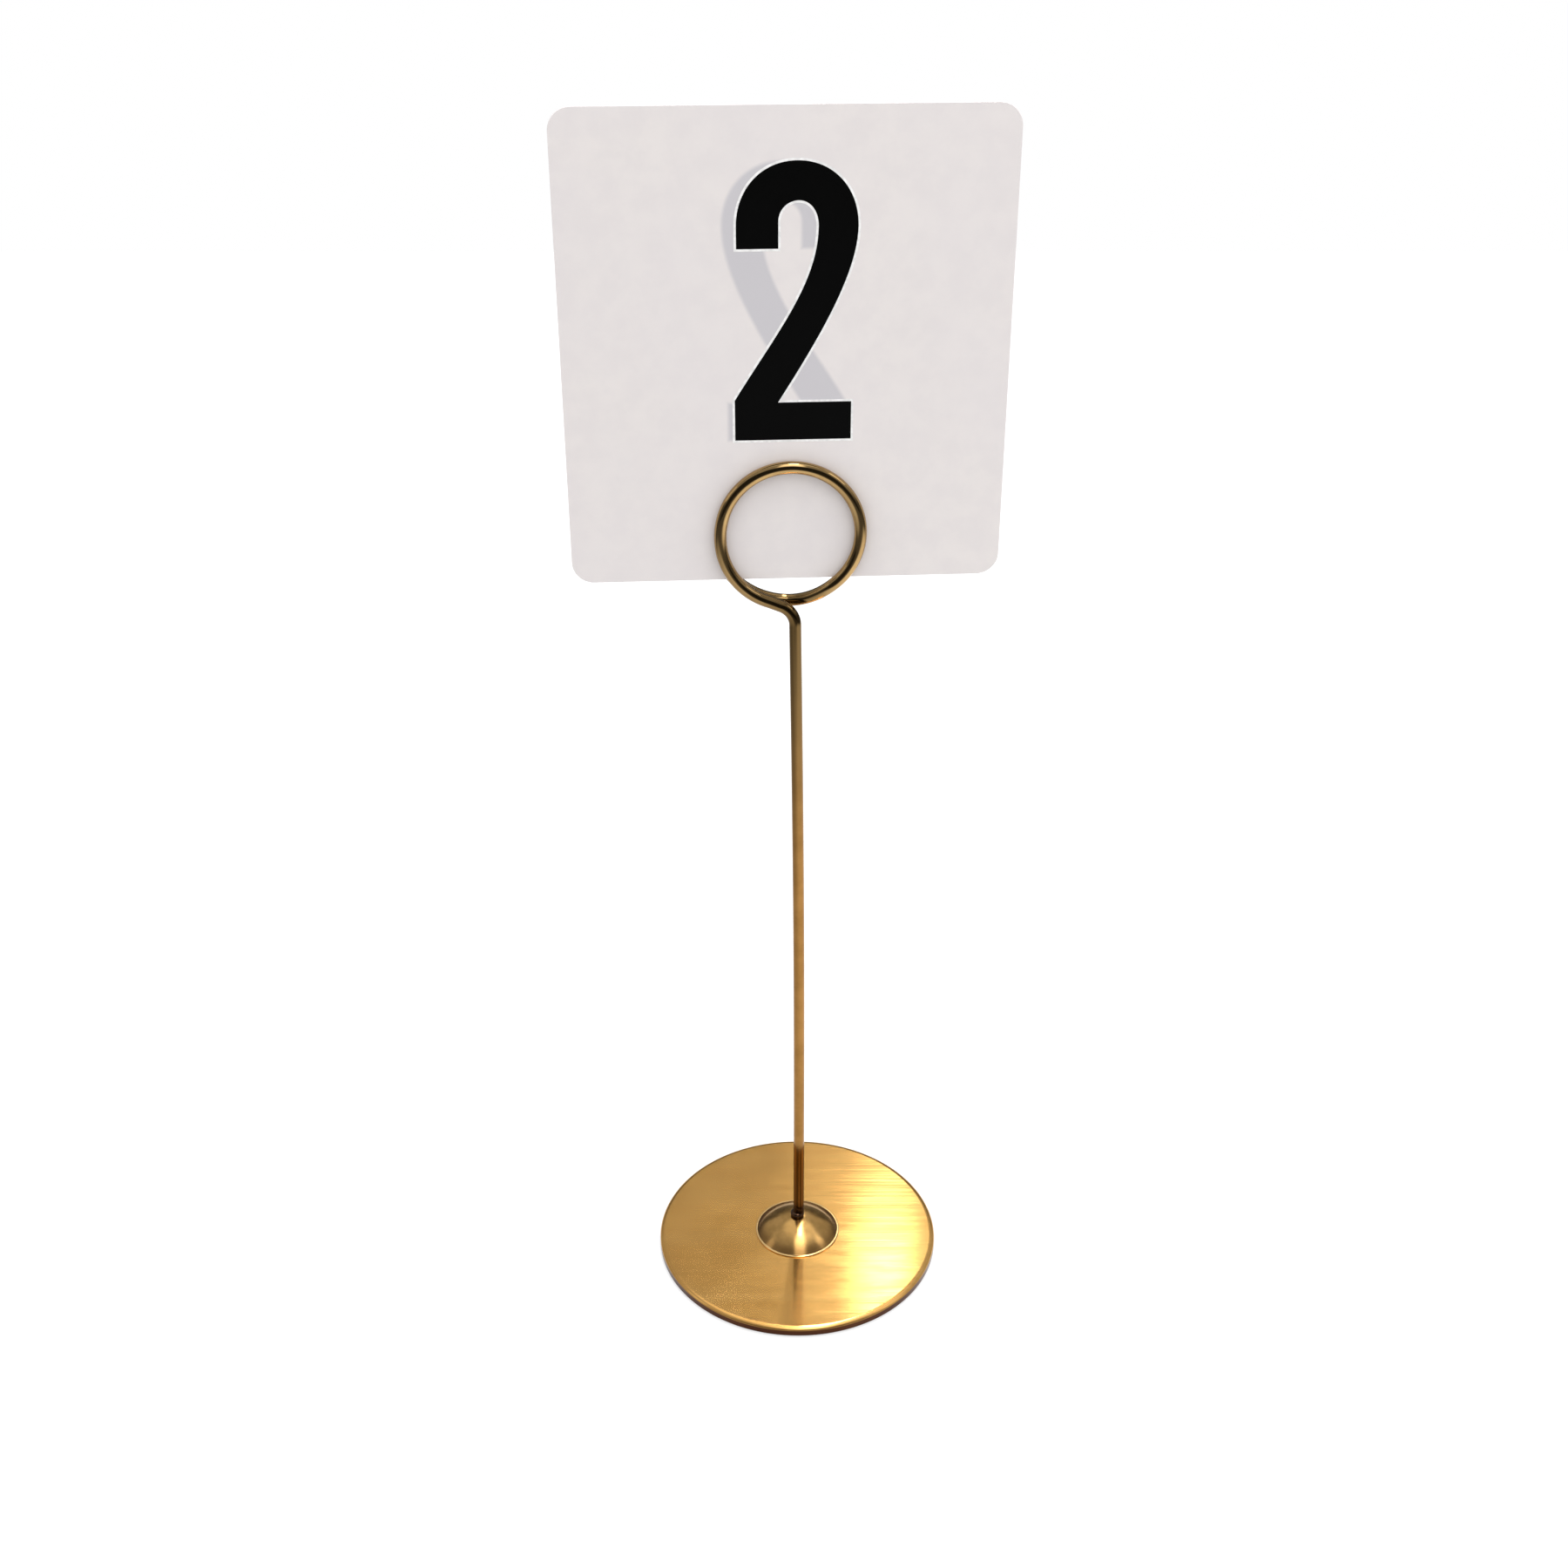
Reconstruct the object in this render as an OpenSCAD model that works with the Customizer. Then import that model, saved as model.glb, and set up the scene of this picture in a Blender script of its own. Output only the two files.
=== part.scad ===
// Table number stand: a wire stem on a round weighted base, bent at its top into a
// ring clip that grips a plastic number card. Millimetres, +Z up, +X to the right of
// someone who reads the card. The origin is the middle of the underside.

/* [Base] */
// Diameter of the base plate
plate_d = 74.2; // [60:0.2:90]
// Height of the base plate's top above the table
plate_h = 2.65; // [2.4:0.05:5]
// Thickness of the pressed sheet that the base plate is made of
sheet_t = 0.8; // [0.5:0.05:1]
// Radius of the rounded edge between the plate's top and its rim
plate_edge_r = 0.8; // [0.4:0.05:1.2]
// Thickness of the felt pad
pad_t = 0.65; // [0.4:0.05:0.8]
// How far the pad stands below the rim
pad_proud = 0.25; // [0.1:0.05:0.3]

/* [Boss] */
// Diameter of the foot flange of the boss
boss_d = 22.5; // [16:0.1:30]
// Height of the boss above the plate
boss_h = 4.9; // [3:0.1:8]
// Thickness of the foot flange
flange_t = 0.35; // [0.2:0.05:0.8]
// How far the flange stands out from the dome
flange_lip = 0.45; // [0.2:0.05:1]

/* [Wire] */
// Diameter of the wire
wire_d = 2.8; // [2.2:0.1:3.2]
// Height of the stand, to the top of the ring's front turn
stand_h = 220.6; // [150:0.2:320]
// How far the stem leaves its bead to the right of the base's middle
foot_offset = 0.35; // [0:0.05:0.4]
// How far the stem's top stands to the left of its foot
stem_lean = 1.4; // [0:0.1:4]
// Diameter of the ring, at the middle of the wire
ring_mid_d = 30.9; // [26:0.1:40]
// How far the ring's middle stands to the left of the base's middle
ring_offset = 2.1; // [0:0.1:3]
// Turns of wire in the ring
ring_turns = 1.75; // [1.55:0.01:1.85]
// Radius of the bend at the top of the stem, at the middle of the wire
bend_r = 5; // [2.8:0.1:6]
// Straight run of the neck, between the stem's bend and the ring
neck_run = 2; // [1:0.1:4]

/* [Card] */
// Width of the card
card_w = 95.25; // [70:0.25:120]
// Height of the card
card_h = 101.6; // [70:0.2:150]
// Thickness of the card
card_t = 0.6; // [0.3:0.05:0.8]
// Radius of the card's corners
card_corner_r = 4.8; // [2:0.1:10]
// Height of the card's lower edge above the lowest point of the ring's circle
card_lift = 4.4; // [4:0.1:6]
// How far the card's middle stands to the left of the ring's middle
card_offset = 1; // [0:0.1:8]
// Turn of the ring and the card about the stem, right side back
card_yaw = 3.5; // [0:0.5:6]

/* [Hidden] */

// Clearances between pieces
stem_fit = 0.05;
inset_fit = 0.25;
grip_gap = 0.15;

// Base: a shallow pan with the ballast and the pad inside its rim
plate_r = plate_d / 2;
pan_inner_r = plate_r - sheet_t;
pan_fillet_r = sheet_t / 2;
rim_z = pad_proud;
under_plate_z = plate_h - sheet_t;
ballast_hole_r = 7.5;
stem_bore_r = wire_d / 2 + stem_fit;

// Boss: a spherical dome with a small flat at its top for the bead of the wire
boss_r = boss_d / 2;
dome_r = boss_r - flange_lip;
bead_d = 1.4 * wire_d;
bead_h = 0.6 * wire_d;
crown_flat_r = bead_d / 2 + stem_fit;
boss_top_z = plate_h + boss_h;
dome_rise = boss_h - flange_t;
dome_centre = (pow(crown_flat_r, 2) + pow(boss_h, 2) - pow(dome_r, 2) - pow(flange_t, 2)) / (2 * dome_rise);
dome_sphere_r = norm([crown_flat_r, boss_h - dome_centre]);

// Riveted end of the wire, under the plate
washer_r = 4.5;
washer_share = 0.42;
washer_t = washer_share * (under_plate_z - pad_t);
washer_z = under_plate_z - washer_t;
head_share = 0.4;
head_t = head_share * (under_plate_z - pad_t);
head_r = 0.85 * wire_d;

// Ring clip: the front turn lies before the card and the rear turn behind it
wire_r = wire_d / 2;
ring_mid_r = ring_mid_d / 2;
ring_x = -ring_offset;
ring_z = stand_h - wire_r - ring_mid_r;
grip_half = wire_r + card_t / 2 + grip_gap;
neck_reach_share = 0.4;
clip_y = grip_half + tan(card_yaw) * ring_mid_r * neck_reach_share;
card_z = ring_z - ring_mid_r + card_lift;

// The wire passes under the card's lower edge from the front turn to the rear turn, which
// opens out to a wider circle
edge_turn = acos((ring_mid_r - card_lift) / ring_mid_r) / 360;
cross_start_share = 0.9;
cross_end_share = 0.12;
cross_start = 1 - cross_start_share * edge_turn;
cross_end = 1 + cross_end_share * edge_turn;
opening_share = 0.68;
rear_opening = opening_share * wire_d;

// The neck leaves the stem's bend and joins the ring a little outside its circle
flare_turns = 0.29;
flare_share = 0.52;
neck_flare = flare_share * wire_d;
stem_top_x = foot_offset - stem_lean;
bend_reach_share = 0.75;
join_reach = ring_x - stem_top_x + bend_reach_share * bend_r + neck_run;
join_turn = asin(join_reach / (ring_mid_r + neck_flare)) / 360;
wire_sides = 12;
steps_per_turn = 64;
bend_steps = 8;

// Smooth step from 0 to 1
function ease(t) = let(c = min(max(t, 0), 1)) c * c * (3 - 2 * c);

// Depth of the card's middle plane at a given x
function card_plane_y(x) = clip_y + tan(card_yaw) * (x - ring_x);

// Point of the ring's centre line, counted in turns from the bottom, left side first
function crossed(u) = ease((u - cross_start) / (cross_end - cross_start));
function ring_r_at(u) = ring_mid_r + neck_flare * (1 - ease(u / flare_turns)) + rear_opening * crossed(u);
function side_at(u) = grip_half * (2 * crossed(u) - 1);
function ring_point(u) =
    let(x = ring_x - ring_r_at(u) * sin(360 * u))
    [x, card_plane_y(x) + side_at(u), ring_z - ring_r_at(u) * cos(360 * u)];

// The neck is a straight run that is tangent to the ring and to the stem's bend
join = ring_point(join_turn);
neck_dir = unit(ring_point(join_turn + 1 / steps_per_turn) - join);
neck_rise = atan2(neck_dir[2], -neck_dir[0]);
bend_angle = 90 - neck_rise;
neck_len = (stem_top_x - bend_r * (1 - cos(bend_angle)) - join[0]) / cos(neck_rise);
bend_end_z = join[2] - neck_len * sin(neck_rise);
stem_top_z = bend_end_z - bend_r * sin(bend_angle);
neck_path_len = neck_len + bend_r * bend_angle * PI / 180;

function unit(v) = v / norm(v);

// Point of the stem's bend, and its depth, which follows the neck's length
function neck_depth(run) = join[1] * ease(run / neck_path_len);
function bend_point(a) = [
    stem_top_x - bend_r * (1 - cos(a)),
    neck_depth(bend_r * a * PI / 180),
    stem_top_z + bend_r * sin(a)
];

// Foot of the leaning stem and its direction
stem_foot = [foot_offset, 0, boss_top_z + bead_h / 2];
stem_top = [stem_top_x, 0, stem_top_z];
stem_len = norm(stem_top - stem_foot);
lean_angle = atan2(stem_lean, stem_top_z - stem_foot[2]);

// Centre line of the bent wire, from just below the bend to its cut end
root_len = wire_d;
ring_steps = ceil((ring_turns - join_turn) * steps_per_turn);
bent_path = concat(
    [stem_top - root_len * unit(stem_top - stem_foot)],
    [for (i = [0:bend_steps]) bend_point(bend_angle * i / bend_steps)],
    [for (i = [0:ring_steps]) ring_point(join_turn + (ring_turns - join_turn) * i / ring_steps)]
);
last = len(bent_path) - 1;

// Least gap between stretches of the wire that are more than a quarter turn apart
apart_steps = steps_per_turn / 4;
self_gap = min([
    for (i = [0:last - apart_steps])
        for (j = [i + apart_steps:last])
            norm(bent_path[i] - bent_path[j])
]) - wire_d;
echo(least_self_gap_of_the_wire_mm = self_gap);

// Section of the wire round one point of its centre line
tube_r = wire_r * sqrt(PI / (wire_sides / 2 * sin(360 / wire_sides)));
cut_share = 0.75;
function path_dir(i) = unit(bent_path[min(i + 1, last)] - bent_path[max(i - 1, 0)]);
function wire_ring(i) =
    let(
        t = path_dir(i),
        across = unit(cross(t, [0, 1, 0])),
        up = cross(t, across),
        r = i == last ? tube_r * cut_share : tube_r
    )
    [
        for (k = [0:wire_sides - 1])
            let(turn = 360 * k / wire_sides)
            bent_path[i] + r * (cos(turn) * across + sin(turn) * up)
    ];

// The bent end of the wire as one unbroken tube
module bent_wire() {
    points = [for (i = [0:last]) each wire_ring(i)];
    sides = [
        for (i = [0:last - 1])
            for (k = [0:wire_sides - 1])
                let(
                    a = i * wire_sides + k,
                    b = i * wire_sides + (k + 1) % wire_sides,
                    c = b + wire_sides,
                    d = a + wire_sides
                )
                each [[a, c, b], [a, d, c]]
    ];
    first_end = [for (k = [1:wire_sides - 2]) [0, k, k + 1]];
    start = last * wire_sides;
    last_end = [for (k = [1:wire_sides - 2]) [start, start + k + 1, start + k]];
    polyhedron(points, concat(sides, first_end, last_end));
}

// Rectangle with true round corners, its lower edge on the X axis
module rounded_panel(w, h, r) {
    translate([-w / 2 + r, 0]) square([w - 2 * r, h]);
    translate([-w / 2, r]) square([w, h - 2 * r]);
    for (x = [-1, 1])
        for (z = [r, h - r])
            translate([x * (w / 2 - r), z]) circle(r = r, $fn = 64);
}

// Half section of a disc with one round upper edge, between two heights
module edge_section(r, low, high, edge) {
    translate([0, low]) square([r - edge, high - low]);
    translate([0, low]) square([r, high - low - edge]);
    translate([r - edge, high - edge]) circle(r = edge, $fn = 48);
}

// Flat disc with a hole
module ring_disc(r, hole_r, t) {
    rotate_extrude($fn = 180) translate([hole_r, 0]) square([r - hole_r, t]);
}

// Pressed pan with a turned-down rim and a hole for the wire
module base_plate() {
    color([0.80, 0.62, 0.32])
        rotate_extrude($fn = 180)
            difference() {
                edge_section(plate_r, rim_z, plate_h, plate_edge_r);
                translate([0, rim_z - sheet_t])
                    edge_section(pan_inner_r, 0, under_plate_z - rim_z + sheet_t, pan_fillet_r);
                translate([0, rim_z]) square([stem_bore_r, plate_h]);
            }
}

// Turned boss: a low dome on a thin foot flange, with a bore for the wire
module boss() {
    color([0.55, 0.42, 0.24])
        translate([0, 0, plate_h])
            rotate_extrude($fn = 120)
                difference() {
                    union() {
                        square([boss_r, flange_t]);
                        intersection() {
                            translate([0, dome_centre]) circle(r = dome_sphere_r, $fn = 180);
                            square([dome_r, boss_h]);
                        }
                    }
                    square([stem_bore_r, boss_h + flange_t]);
                }
}

// One wire: riveted head, tail, bead that sits on the boss, stem, bend and ring
module stem_clip() {
    color([0.66, 0.52, 0.26]) {
        rotate_extrude($fn = 48) {
            translate([0, washer_z - head_t]) square([head_r, head_t]);
            translate([0, washer_z - head_t]) square([wire_r, boss_top_z + bead_h / 2 - washer_z + head_t]);
            translate([0, boss_top_z]) square([(bead_d - bead_h) / 2, bead_h]);
            translate([(bead_d - bead_h) / 2, boss_top_z + bead_h / 2]) circle(d = bead_h, $fn = 48);
        }
        translate(stem_foot) rotate([0, -lean_angle, 0]) cylinder(h = stem_len, r = wire_r, $fn = 48);
        bent_wire();
    }
}

// Washer between the plate and the riveted head
module rivet_washer() {
    color([0.62, 0.62, 0.63])
        translate([0, 0, washer_z]) ring_disc(washer_r, stem_bore_r, washer_t);
}

// Steel disc that weights the base, clear of the washer
module ballast_disc() {
    color([0.45, 0.46, 0.47])
        translate([0, 0, pad_t]) ring_disc(pan_inner_r - inset_fit, ballast_hole_r, under_plate_z - pad_t);
}

// Felt pad on the underside
module base_pad() {
    color([0.12, 0.14, 0.13])
        cylinder(h = pad_t, r = pan_inner_r - inset_fit, $fn = 180);
}

// Plastic card between the turns of the ring
module number_card() {
    color([0.90, 0.88, 0.87])
        translate([ring_x, clip_y, card_z])
            rotate([0, 0, card_yaw])
                translate([-card_offset, card_t / 2, 0])
                    rotate([90, 0, 0])
                        linear_extrude(card_t) rounded_panel(card_w, card_h, card_corner_r);
}

base_plate();
boss();
stem_clip();
rivet_washer();
ballast_disc();
base_pad();
number_card();
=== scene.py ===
# A table number stand: a brushed brass plate with a turned boss, a drawn wire stem bent
# into a ring clip at its top, and a plastic number card that the ring holds.
from math import acos, asin, atan2, ceil, cos, hypot, pi, radians, sin, tan

import bpy
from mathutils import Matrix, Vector, noise


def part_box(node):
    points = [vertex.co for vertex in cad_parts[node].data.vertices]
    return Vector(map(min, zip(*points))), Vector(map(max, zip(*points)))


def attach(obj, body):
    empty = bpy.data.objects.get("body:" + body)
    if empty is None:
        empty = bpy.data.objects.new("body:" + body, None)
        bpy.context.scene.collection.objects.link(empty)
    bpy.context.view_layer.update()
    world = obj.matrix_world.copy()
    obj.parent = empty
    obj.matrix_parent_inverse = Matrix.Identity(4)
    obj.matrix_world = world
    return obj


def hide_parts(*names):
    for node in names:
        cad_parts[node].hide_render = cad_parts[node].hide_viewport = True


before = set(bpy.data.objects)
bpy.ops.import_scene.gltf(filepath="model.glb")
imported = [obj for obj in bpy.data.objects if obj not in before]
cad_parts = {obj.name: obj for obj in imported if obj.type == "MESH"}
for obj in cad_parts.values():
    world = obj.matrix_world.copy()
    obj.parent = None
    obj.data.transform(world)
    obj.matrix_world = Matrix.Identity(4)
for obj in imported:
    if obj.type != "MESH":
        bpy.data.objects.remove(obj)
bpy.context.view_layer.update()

mm = 0.001


# The camera stands before the card, well above the table, and looks down at the stand.
# Its place, angle and lens follow the photograph, which is square and has no shift.
PHOTO_WIDTH = 1800
FOCAL_PIXELS = 2196.6
SENSOR_WIDTH = 36.0
CAMERA_PLACE = Vector((-3.6, -395.3, 361.2)) * mm
CAMERA_PITCH = radians(29.13)

camera_data = bpy.data.cameras.new("photo_camera")
camera_data.sensor_width = SENSOR_WIDTH
camera_data.lens = SENSOR_WIDTH * FOCAL_PIXELS / PHOTO_WIDTH
camera_data.clip_start = 0.01
camera_data.clip_end = 50.0
camera = bpy.data.objects.new("photo_camera", camera_data)
camera.location = CAMERA_PLACE
camera.rotation_euler = (pi / 2 - CAMERA_PITCH, 0.0, 0.0)
bpy.context.scene.collection.objects.link(camera)
bpy.context.scene.camera = camera
bpy.context.scene.view_settings.view_transform = "Standard"


# The table is a sheet of pale paper that runs out to white, and keeps a soft shadow. It
# ends in dark wood towards the reader and both sides, which only the metal shows.
# Its paint, like every finish below, is written as sums of these shader values.
class Value:
    """One value of a finish. Sums of values become the nodes of its material."""

    def __init__(self, finish, socket):
        self.finish = finish
        self.socket = socket

    def sum(self, operation, first, second):
        return self.finish.node("Math", {"operation": operation}, {0: first, 1: second})

    def __add__(self, other):
        return self.sum("ADD", self, other)

    def __radd__(self, other):
        return self.sum("ADD", other, self)

    def __sub__(self, other):
        return self.sum("SUBTRACT", self, other)

    def __rsub__(self, other):
        return self.sum("SUBTRACT", other, self)

    def __mul__(self, other):
        return self.sum("MULTIPLY", self, other)

    def __rmul__(self, other):
        return self.sum("MULTIPLY", other, self)

    def __pow__(self, other):
        return self.sum("POWER", self, other)


class Finish:
    """The nodes of one material or of the world."""

    def __init__(self, owner):
        owner.use_nodes = True
        self.tree = owner.node_tree
        self.tree.nodes.clear()

    def node(self, kind, settings=None, inputs=None, output=0):
        made = self.tree.nodes.new("ShaderNode" + kind)
        for name, setting in (settings or {}).items():
            setattr(made, name, setting)
        for name, value in (inputs or {}).items():
            if isinstance(value, Value):
                self.tree.links.new(value.socket, made.inputs[name])
            else:
                made.inputs[name].default_value = value
        return Value(self, made.outputs[output])

    def step(self, value, start, end, low=0.0, high=1.0):
        """Goes smoothly from low to high as value goes from start to end."""
        ends = {"Value": value, "From Min": start, "From Max": end, "To Min": low, "To Max": high}
        return self.node("MapRange", {"interpolation_type": "SMOOTHSTEP"}, ends)

    def mix(self, factor, first, second):
        """Mixes two colours."""
        colours = {"Factor": factor, 6: first, 7: second}
        return self.node("Mix", {"data_type": "RGBA"}, colours, output=2)

    def place(self):
        """Place of the point on the piece, in metres."""
        return self.node("TexCoord", output="Object")

    def stretched(self, x, y, z):
        """Place of the point, with each direction counted in its own number of steps a metre."""
        return self.node("Mapping", None, {"Vector": self.place(), "Scale": (x, y, z)})

    def grain(self, vector, scale, detail, roughness=0.5):
        settings = {"Vector": vector, "Scale": scale, "Detail": detail, "Roughness": roughness}
        return self.node("TexNoise", None, settings)

    def bump(self, height, distance, strength=1.0, normal=None):
        settings = {"Height": height, "Distance": distance, "Strength": strength}
        if normal:
            settings["Normal"] = normal
        return self.node("Bump", None, settings, output="Normal")

    def surface(self, shader):
        sky = isinstance(shader.socket.node, bpy.types.ShaderNodeBackground)
        end = self.tree.nodes.new("ShaderNodeOutputWorld" if sky else "ShaderNodeOutputMaterial")
        self.tree.links.new(shader.socket, end.inputs["Surface"])


def rgb(red, green, blue):
    """Colour as it looks on a screen, from 0 to 255, turned to the light it stands for."""
    light = []
    for share in (red / 255, green / 255, blue / 255):
        light.append(share / 12.92 if share <= 0.04045 else ((share + 0.055) / 1.055) ** 2.4)
    return (*light, 1.0)


def dimmed(colour, share):
    """The same colour with only a share of its light."""
    return (*(share * c for c in colour[:3]), 1.0)


# Faces that meet at more than this angle keep a crisp edge between them.
SHARP_ANGLE = radians(35)


def mesh_object(name, points, faces, material, sharp_angle=SHARP_ANGLE):
    mesh = bpy.data.meshes.new(name)
    mesh.from_pydata([tuple(p) for p in points], [], faces)
    mesh.validate()
    mesh.materials.append(material)
    mesh.shade_smooth()
    mesh.set_sharp_from_angle(angle=sharp_angle)
    piece = bpy.data.objects.new(name, mesh)
    bpy.context.scene.collection.objects.link(piece)
    return piece


TABLE_SIDE = 0.9
TABLE_BACK = 1.1
TABLE_DROP = 0.02 * mm
PAPER = 0.5
DARK_WOOD = 0.1
FRONT_FADE = (-0.50, -0.26)
LEFT_FADE = (-0.60, -0.12)
RIGHT_FADE = (0.75, 0.30)
WHITE_LEVEL = 1.05
TABLE_LIGHT = 1.1
GLOSSY_SIDES = (-0.25, 0.12)
PAINTED_GLOW_LEVELS = (0.10, 0.85)

table_paint = bpy.data.materials.new("table_paint")
finish = Finish(table_paint)
side = finish.node("SeparateXYZ", None, {"Vector": finish.place()}, output="X")
depth = finish.node("SeparateXYZ", None, {"Vector": finish.place()}, output="Y")
paper = finish.step(depth, *FRONT_FADE) * finish.step(side, *LEFT_FADE)
paper = paper * finish.step(side, *RIGHT_FADE)
shade = DARK_WOOD + (PAPER - DARK_WOOD) * paper
seen = finish.node("LightPath", output="Is Camera Ray")
seen = seen + finish.node("LightPath", output="Is Transmission Ray")
mirrored = finish.node("LightPath", output="Is Glossy Ray")
grey = finish.node("CombineXYZ", None, {0: shade, 1: shade, 2: shade})
sheet = finish.node("BsdfDiffuse", None, {"Color": grey})
lift = seen * (WHITE_LEVEL - TABLE_LIGHT * shade)
# Painted light: for mirrored rays the paper also glows, brighter towards the right.
lift = lift + mirrored * paper * finish.step(side, *GLOSSY_SIDES, *PAINTED_GLOW_LEVELS)
glow = finish.node("Emission", None, {"Strength": lift})
finish.surface(finish.node("AddShader", None, {0: sheet, 1: glow}))
corners = [(-TABLE_SIDE, -TABLE_SIDE), (TABLE_SIDE, -TABLE_SIDE)]
corners += [(TABLE_SIDE, TABLE_BACK), (-TABLE_SIDE, TABLE_BACK)]
places = [(x, y, -TABLE_DROP) for x, y in corners]
table = mesh_object("table", places, [(0, 1, 2, 3)], table_paint)


# The room is pale, but for the dark reader before the stand and a dim backdrop behind it.
# A white ceiling and a softbox above the reader light it, with a strip lamp overhead and a
# lamp on each side. The plate shows a curtained window high up behind the stand.
FILL_LEVEL = 1.06
ROOM_LEVEL = 0.50
CEILING_LEVEL = 1.25
CEILING_MIDDLE = (0.12, 0.30, 0.947)
CEILING_SPREAD = (0.78, 0.94)
CEILING_EDGE = (0.74, 0.86)
SOFTBOX_LEVEL = 3.0
SOFTBOX_NEAR = (-0.10, -0.18)
SOFTBOX_FAR = (-0.84, -0.62)
SOFTBOX_MIDDLE = 0.10
SOFTBOX_SIDE = (0.06, 0.01)
SOFTBOX_FOOT = (0.0, 0.2)
HORIZON = (0.04, 0.34)
HORIZON_LEVEL = 0.25
BACKDROP_SIDE = (0.68, 0.80)
BACKDROP_TOP = (0.58, 0.40)
BACKDROP_LEVEL = 0.14
READER_LEVEL = 0.03
READER_NEAR = (-0.42, -0.70)
READER_HEAD = (0.53, 0.72)

world = bpy.data.worlds.new("room")
bpy.context.scene.world = world
finish = Finish(world)
seen = finish.node("LightPath", output="Is Camera Ray")
seen = seen + finish.node("LightPath", output="Is Transmission Ray")
mirrored = finish.node("LightPath", output="Is Glossy Ray")
direction = finish.node("TexCoord", output="Generated")
side = finish.node("SeparateXYZ", None, {"Vector": direction}, output="X")
depth = finish.node("SeparateXYZ", None, {"Vector": direction}, output="Y")
rise = finish.node("SeparateXYZ", None, {"Vector": direction}, output="Z")
room = ROOM_LEVEL * finish.step(rise, *HORIZON, HORIZON_LEVEL, 1.0)
backdrop = finish.step(depth, *BACKDROP_SIDE) * finish.step(rise, *BACKDROP_TOP)
room = room + backdrop * (BACKDROP_LEVEL - room)
ends = {0: direction, 1: CEILING_MIDDLE}
nearness = finish.node("VectorMath", {"operation": "DOT_PRODUCT"}, ends, output="Value")
ceiling = finish.step(nearness, *CEILING_SPREAD) * finish.step(rise, *CEILING_EDGE)
room = room + ceiling * (CEILING_LEVEL - room)
softbox = finish.step(depth, *SOFTBOX_NEAR) * finish.step(depth, *SOFTBOX_FAR)
offset = (side - SOFTBOX_MIDDLE) ** 2.0
softbox = softbox * finish.step(offset, *SOFTBOX_SIDE) * finish.step(rise, *SOFTBOX_FOOT)
room = room + softbox * (SOFTBOX_LEVEL - room)
reader = finish.step(depth, *READER_NEAR) * (1.0 - finish.step(rise, *READER_HEAD))
room = room + reader * (READER_LEVEL - room)
level = mirrored * room + (1.0 - mirrored) * FILL_LEVEL
strength = seen + (1.0 - seen) * level
white_air = {"Color": (1.0, 1.0, 1.0, 1.0), "Strength": strength}
finish.surface(finish.node("Background", None, white_air))


def area_lamp(name, place, width, length, brightness):
    """A soft lamp that faces the stand. Its brightness is 1 where it would look just white."""
    data = bpy.data.lights.new(name, "AREA")
    data.shape = "RECTANGLE"
    data.size = width
    data.size_y = length
    data.energy = brightness * pi * width * length
    lamp = bpy.data.objects.new(name, data)
    lamp.location = place
    lamp.rotation_euler = (-Vector(place)).to_track_quat("-Z", "Y").to_euler()
    lamp.visible_camera = False
    bpy.context.scene.collection.objects.link(lamp)
    return lamp


strip = area_lamp("overhead_strip", (0.10, 0.31, 1.12), width=0.16, length=0.88, brightness=12.0)
strip.rotation_euler = (0.0, 0.0, 0.0)
area_lamp("right_lamp", (1.00, -0.10, 0.95), width=0.36, length=0.42, brightness=1.6)
area_lamp("left_lamp", (-1.00, -0.10, 0.62), width=0.30, length=0.35, brightness=1.0)
softbox_lamp = area_lamp("softbox", (0.25, -0.54, 1.04), width=1.00, length=0.60, brightness=1.1)
softbox_lamp.visible_glossy = False

WINDOW_LEFT = (0.056, 0.116)
WINDOW_RIGHT = (0.170, 0.128)
WINDOW_RISE = (0.82, 1.02)
WINDOW_LEVEL = (1.7, 8.2)
WINDOW_DEPTH = 1.04
WINDOW_HEIGHTS = (0.75, 1.15)
WINDOW_SHEER = 0.30
SHEER_LEFT = (-0.03, 0.045)

window_light = bpy.data.materials.new("window_light")
finish = Finish(window_light)
side = finish.node("SeparateXYZ", None, {"Vector": finish.place()}, output="X")
rise = finish.node("SeparateXYZ", None, {"Vector": finish.place()}, output="Z")
pane = finish.step(side, *WINDOW_LEFT) * finish.step(side, *WINDOW_RIGHT)
brightness = pane * finish.step(rise, *WINDOW_RISE, *WINDOW_LEVEL)
sheer = finish.step(side, *SHEER_LEFT) * finish.step(side, *WINDOW_RIGHT)
brightness = brightness + WINDOW_SHEER * sheer
finish.surface(finish.node("Emission", None, {"Strength": ROOM_LEVEL + brightness}))
left, right = SHEER_LEFT[0], WINDOW_RIGHT[0]
sill, head = WINDOW_HEIGHTS
corners = [(left, sill), (right, sill), (right, head), (left, head)]
places = [(x, WINDOW_DEPTH, z) for x, z in corners]
window = mesh_object("window", places, [(0, 1, 2, 3)], window_light)
window.visible_camera = False
window.visible_shadow = False


# The felt pad closes the underside and keeps the table from scratches. It is a die-cut
# disc, glued inside the rim, and stands a little below it.
def felt_finish():
    material = bpy.data.materials.new("pad_felt")
    felt = Finish(material)
    fibres = felt.grain(felt.place(), scale=900.0, detail=4.0, roughness=0.7)
    clumps = felt.grain(felt.place(), scale=120.0, detail=2.0)
    colour = felt.mix(felt.step(fibres, 0.35, 0.65), rgb(22, 28, 24), rgb(46, 54, 48))
    colour = felt.mix(felt.step(clumps, 0.4, 0.7, 0.0, 0.5), colour, rgb(33, 41, 36))
    height = fibres + 0.6 * clumps
    inputs = {
        "Base Color": colour,
        "Roughness": 0.95,
        "Sheen Weight": 0.3,
        "Normal": felt.bump(height, 0.25 * mm),
    }
    felt.surface(felt.node("BsdfPrincipled", None, inputs))
    return material


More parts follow.
